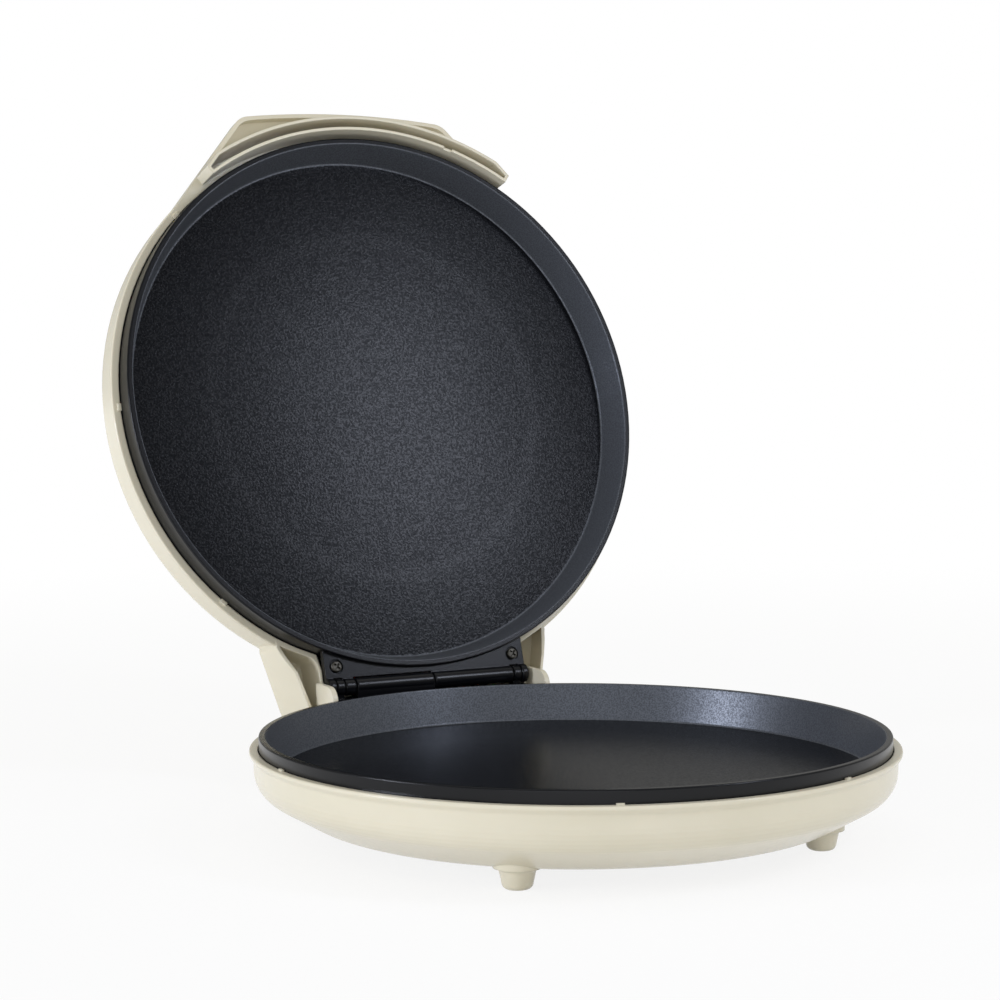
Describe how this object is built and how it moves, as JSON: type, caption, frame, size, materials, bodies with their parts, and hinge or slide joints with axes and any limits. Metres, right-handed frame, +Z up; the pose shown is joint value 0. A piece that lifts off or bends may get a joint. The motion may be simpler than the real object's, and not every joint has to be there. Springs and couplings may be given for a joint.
{
  "type": "electric pizza maker",
  "caption": "Round countertop pizza maker with two deep non-stick plates, a moulded base and a hinged lid that rests open past upright.",
  "frame": {"origin": "on the table under the middle of the outer box, with the lid resting open", "axes": "+X along the hinge to the right seen from the front, -Y is the front, +Z is up"},
  "size_m": [0.3382, 0.4812, 0.3954],
  "materials": {
    "cream_plastic": "glossy moulded plastic, warm cream",
    "non_stick": "cast aluminium under a charcoal non-stick coating with a fine grain",
    "element_sheath": "dull annealed steel tube",
    "sheet_steel": "zinc-plated sheet",
    "screw_steel": "nickel-plated steel",
    "phenolic": "dark phenolic and mica",
    "fuse_case": "bare metal case",
    "ceramic": "unglazed white ceramic",
    "black_plastic": "satin black nylon",
    "silicone_sleeve": "off-white silicone and glass sleeve",
    "red_lens": "clear red plastic",
    "lamp_glass": "clear glass"
  },
  "bodies": {
    "base": {"base_housing": "cream_plastic", "lower_plate": "non_stick", "lower_element": "element_sheath", "lower_straps": "sheet_steel", "lower_strap_screws": "screw_steel", "lower_heat_shield": "sheet_steel", "thermostat": "phenolic", "thermal_fuse": "fuse_case", "terminal_block": "ceramic", "cord_gland": "black_plastic", "case_screws": "screw_steel", "lower_leaf_screws": "screw_steel", "base_lead": "silicone_sleeve"},
    "lid": {"lid_housing": "cream_plastic", "upper_plate": "non_stick", "upper_element": "element_sheath", "upper_straps": "sheet_steel", "upper_strap_screws": "screw_steel", "upper_heat_shield": "sheet_steel", "lid_connector": "ceramic", "upper_shield_screws": "screw_steel", "upper_leaf_screws": "screw_steel", "hinge_pins": "screw_steel", "lid_lead": "silicone_sleeve", "indicator_lens": "red_lens", "indicator_lamp": "lamp_glass"}
  },
  "joints": [
    {"name": "lid_hinge", "type": "hinge", "parent": "base", "child": "lid", "pos_m": [0, 0.10079, 0.0572], "axis": [1, 0, 0], "range_deg": [0, 107.3]}
  ]
}
